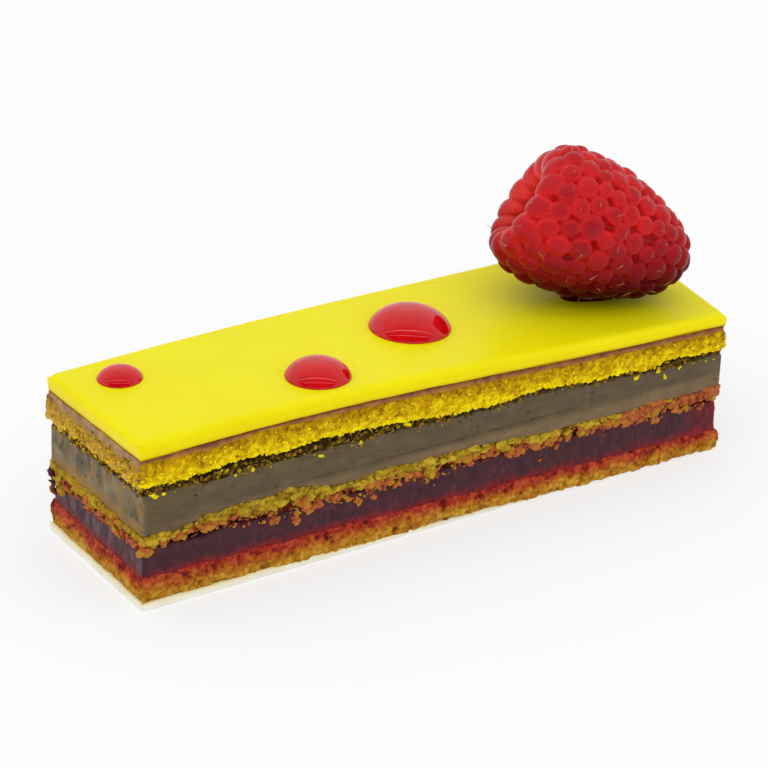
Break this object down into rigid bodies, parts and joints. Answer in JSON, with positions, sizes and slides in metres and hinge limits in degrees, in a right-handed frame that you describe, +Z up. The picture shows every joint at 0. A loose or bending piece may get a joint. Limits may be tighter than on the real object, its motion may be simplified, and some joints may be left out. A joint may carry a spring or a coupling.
{
  "type": "opera cake slice",
  "caption": "Cut slice of layered cake with sponge, ganache and raspberry jelly, a yellow glaze, red jelly dots and a whole raspberry on top.",
  "frame": {"origin": "on the surface that the slice stands on, under the middle of its box", "axes": "+Z up, +X along the slice towards its raspberry end, near cut face at -Y"},
  "size_m": [0.0919, 0.0286, 0.0429],
  "materials": {
    "white_chocolate": "thin cream-white coat with a dull sheen",
    "soaked_sponge": "golden-brown sponge, soaked red at its top, open crumb",
    "dark_jelly": "dark purple-red set fruit jelly, satin cut face",
    "brown_sponge": "ochre to orange sponge with lumps and loose crumbs",
    "ganache": "olive-brown chocolate ganache, smooth cut face with faint knife marks",
    "yellow_sponge": "bright yellow almond sponge, rough torn crumb",
    "chocolate_cream": "thin matt layer of milk chocolate cream",
    "glaze": "opaque lemon-yellow glaze, smooth with a soft shine",
    "red_jelly": "clear red fruit jelly, wet and glossy",
    "raspberry_skin": "deep red drupelets with a pale bloom and translucent seams"
  },
  "bodies": {
    "root": {"white_chocolate_base": "white_chocolate", "bottom_sponge": "soaked_sponge", "raspberry_jelly": "dark_jelly", "middle_sponge": "brown_sponge", "chocolate_ganache": "ganache", "top_sponge": "yellow_sponge", "thin_chocolate_cream": "chocolate_cream", "yellow_glaze": "glaze", "jelly_dot_small": "red_jelly", "jelly_dot_medium": "red_jelly", "jelly_dot_large": "red_jelly", "jelly_dab": "red_jelly", "raspberry": "raspberry_skin"}
  },
  "joints": []
}
